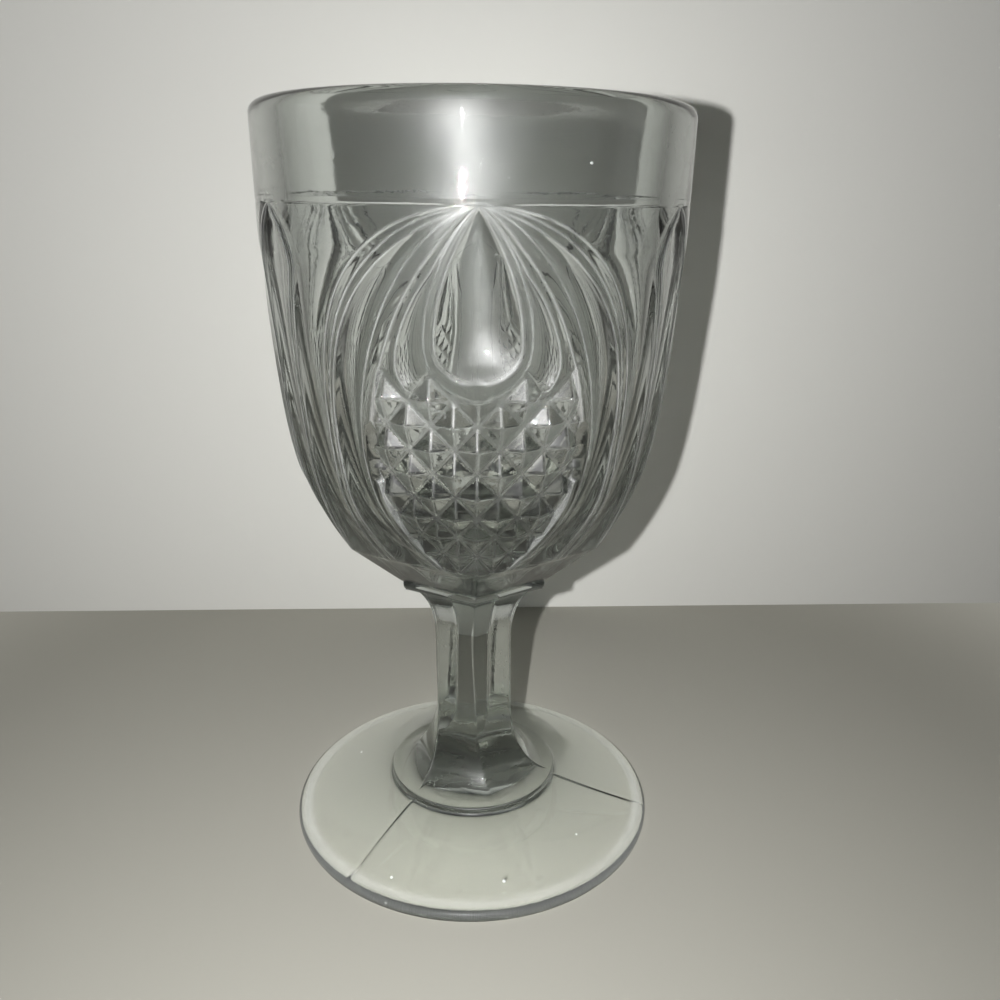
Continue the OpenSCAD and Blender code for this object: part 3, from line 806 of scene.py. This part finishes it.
# Small air bubbles caught in the glass: place and radius of each, and how they are drawn out
seeds = [
    ((-17.2, -30.0, 2.4), 0.32), ((5.8, -31.8, 2.2), 0.36), ((22.0, -19.0, 2.6), 0.25),
    ((-27.0, 12.0, 2.4), 0.3), ((17.0, -34.3, 141.5), 0.28), ((-31.0, 21.0, 143.0), 0.3),
    ((9.0, 37.4, 139.0), 0.25),
]
seedShape = (1, 1.15, 0.8, 1)


def addSeeds(piece):
    shape = bmesh.new()
    shape.from_mesh(piece.data)
    layers = [shape.verts.layers.float[name] for name in ("edgeDistance", "ridgeDistance")]
    for place, radius in seeds:
        matrix = Matrix.Translation(Vector(place) * mm) @ Matrix.Diagonal(seedShape)
        bubble = bmesh.ops.create_icosphere(shape, subdivisions=2, radius=radius * mm, matrix=matrix)["verts"]
        faces = {face for vert in bubble for face in vert.link_faces}
        bmesh.ops.reverse_faces(shape, faces=list(faces))
        for face in faces:
            face.smooth = True
        for vert in bubble:
            for layer in layers:
                vert[layer] = bubbleMark
    shape.to_mesh(piece.data)
    shape.free()
    print("bubbles:", len(seeds))


def makeGoblet():
    g = goblet
    source = bpy.data.objects.new("panel", panelMesh())
    scene.collection.objects.link(source)
    tree = panelsRound()
    modifier = source.modifiers.new("round", "NODES")
    modifier.node_group = tree
    setInputs(modifier, tree, {
        "Panels": g["panels"], "Weld": g["weld"] * mm, "Waviness": g["waviness"] * mm,
        "Wave length": g["waveLength"] * mm, "Seed": float(g["seed"]), "Glass": glassMaterial()})
    made = madePlain(source, "gobletGlass")
    keepInBox(made)
    addSeeds(made)
    return made


gobletGlass = makeGoblet()
print("glass skin:", len(gobletGlass.data.polygons), "faces")
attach(gobletGlass, "root")
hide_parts("rim", "bowl", "collar", "stem", "base", "foot")

# Table, wall and light
studio = {
    "wallBehind": 105.0, "wallColour": (0.66, 0.655, 0.62, 1), "tableColour": (0.40, 0.39, 0.345, 1),
    "wide": 2400.0, "wallTall": 1500.0, "floorZ": -0.1,
    "airColour": (1, 1, 0.97, 1), "ambient": 0.03, "background": 0.22,
    "paleFrom": 130.0, "paleReach": 2.2, "far": 0.65,
    "keyPlace": (-19.0, -182.0, 138.0), "keyHeight": 100, "keySize": 3.0, "keyPower": 0.74,
}


def flatPiece(name, corners, material):
    mesh = bpy.data.meshes.new(name)
    mesh.from_pydata([tuple(v * mm for v in corner) for corner in corners], [], [tuple(range(len(corners)))])
    made = bpy.data.objects.new(name, mesh)
    mesh.materials.append(material)
    scene.collection.objects.link(made)


# Rays that see the background: straight from the camera, or by way of the glass
def seen(graph):
    path = graph.add("ShaderNodeLightPath")
    either = graph.maths("MAXIMUM", path.out("Is Glossy Ray"), path.out("Is Transmission Ray"))
    return graph.maths("MAXIMUM", path.out("Is Camera Ray"), either)


# A matt surface, which can turn pale far from the goblet or be seen from its front only
def matt(name, colour, oneSided=False, paleFrom=None):
    material, graph = newMaterial(name)
    surface = graph.add("ShaderNodeBsdfDiffuse", {}, {"Color": colour})
    if paleFrom:
        coords = graph.add("ShaderNodeTexCoord").out("Object")
        reach = graph.add("ShaderNodeVectorMath", {"operation": "LENGTH"}, {0: coords}).out("Value")
        pale = (paleFrom * mm, studio["paleReach"] * paleFrom * mm)
        far = graph.ranged(reach, pale, (0.0, studio["far"]), eased=True)
        glow = graph.add("ShaderNodeEmission", {}, {"Color": colour, "Strength": far * seen(graph)})
        surface = graph.add("ShaderNodeAddShader", {}, {0: surface, 1: glow})
    if oneSided:
        nothing = graph.add("ShaderNodeBsdfTransparent")
        behind = graph.add("ShaderNodeNewGeometry").out("Backfacing")
        surface = graph.add("ShaderNodeMixShader", {}, {0: behind, 1: surface, 2: nothing})
    graph.add("ShaderNodeOutputMaterial", {}, {"Surface": surface})
    return material


def makeBackdrop():
    w, y, z, high = studio["wide"] / 2, studio["wallBehind"], studio["floorZ"], studio["wallTall"]
    tableMatt = matt("tableMatt", studio["tableColour"], paleFrom=studio["paleFrom"])
    wallMatt = matt("wallMatt", studio["wallColour"], oneSided=True)
    flatPiece("table", [(-w, -w, z), (w, -w, z), (w, w, z), (-w, w, z)], tableMatt)
    flatPiece("wall", [(-w, y, z), (w, y, z), (w, y, high), (-w, y, high)], wallMatt)
    print("backdrop: table and wall")


def makeRoomLight():
    world = bpy.data.worlds.new("room")
    world.use_nodes = True
    scene.world = world
    graph = Graph(world.node_tree)
    strength = studio["ambient"] + seen(graph) * studio["background"]
    ambient = graph.add("ShaderNodeBackground", {}, {"Color": studio["airColour"], "Strength": strength})
    graph.add("ShaderNodeOutputWorld", {}, {"Surface": ambient})


def makeLamp(name, place, target, size, power):
    data = bpy.data.lights.new(name, "AREA")
    data.shape = "DISK"
    data.size = size * mm
    data.energy = power
    made = bpy.data.objects.new(name, data)
    made.location = Vector(place) * mm
    made.rotation_mode = "QUATERNION"
    made.rotation_quaternion = (Vector(place) - Vector(target)).to_track_quat("Z", "Y")
    scene.collection.objects.link(made)
    print("lamp:", name, "at", place)


makeBackdrop()
makeRoomLight()
makeLamp("key", studio["keyPlace"], (0, studio["wallBehind"], studio["keyHeight"]),
         studio["keySize"], studio["keyPower"])

# Camera: its place, where it looks, and its focal length of 900 pixels in a picture 1000 wide
view = {"distance": 182.2, "height": 136.3, "down": 18.59, "yaw": 1.77, "roll": 0.68, "around": -1.0,
        "focal": 900 / 1000 * 36, "sensor": 36, "nearest": 5}


def placeCamera():
    down, yaw, roll = (math.radians(view[k]) for k in ("down", "yaw", "roll"))
    ahead = Vector((math.sin(yaw) * math.cos(down), math.cos(yaw) * math.cos(down), -math.sin(down)))
    level = Vector((math.cos(yaw), -math.sin(yaw), 0))
    upright = level.cross(ahead)
    right = level * math.cos(roll) + upright * math.sin(roll)
    up = upright * math.cos(roll) - level * math.sin(roll)
    turn = Matrix.Rotation(math.radians(view["around"]), 4, "Z")
    matrix = Matrix((right, up, -ahead)).transposed().to_4x4()
    matrix.translation = Vector((0, -view["distance"], view["height"])) * mm
    data = bpy.data.cameras.new("camera")
    data.sensor_width = view["sensor"]
    data.lens = view["focal"]
    data.clip_start = view["nearest"] * mm
    camera = bpy.data.objects.new("camera", data)
    camera.matrix_world = turn @ matrix
    scene.collection.objects.link(camera)
    scene.camera = camera
    print("camera: placed")


placeCamera()
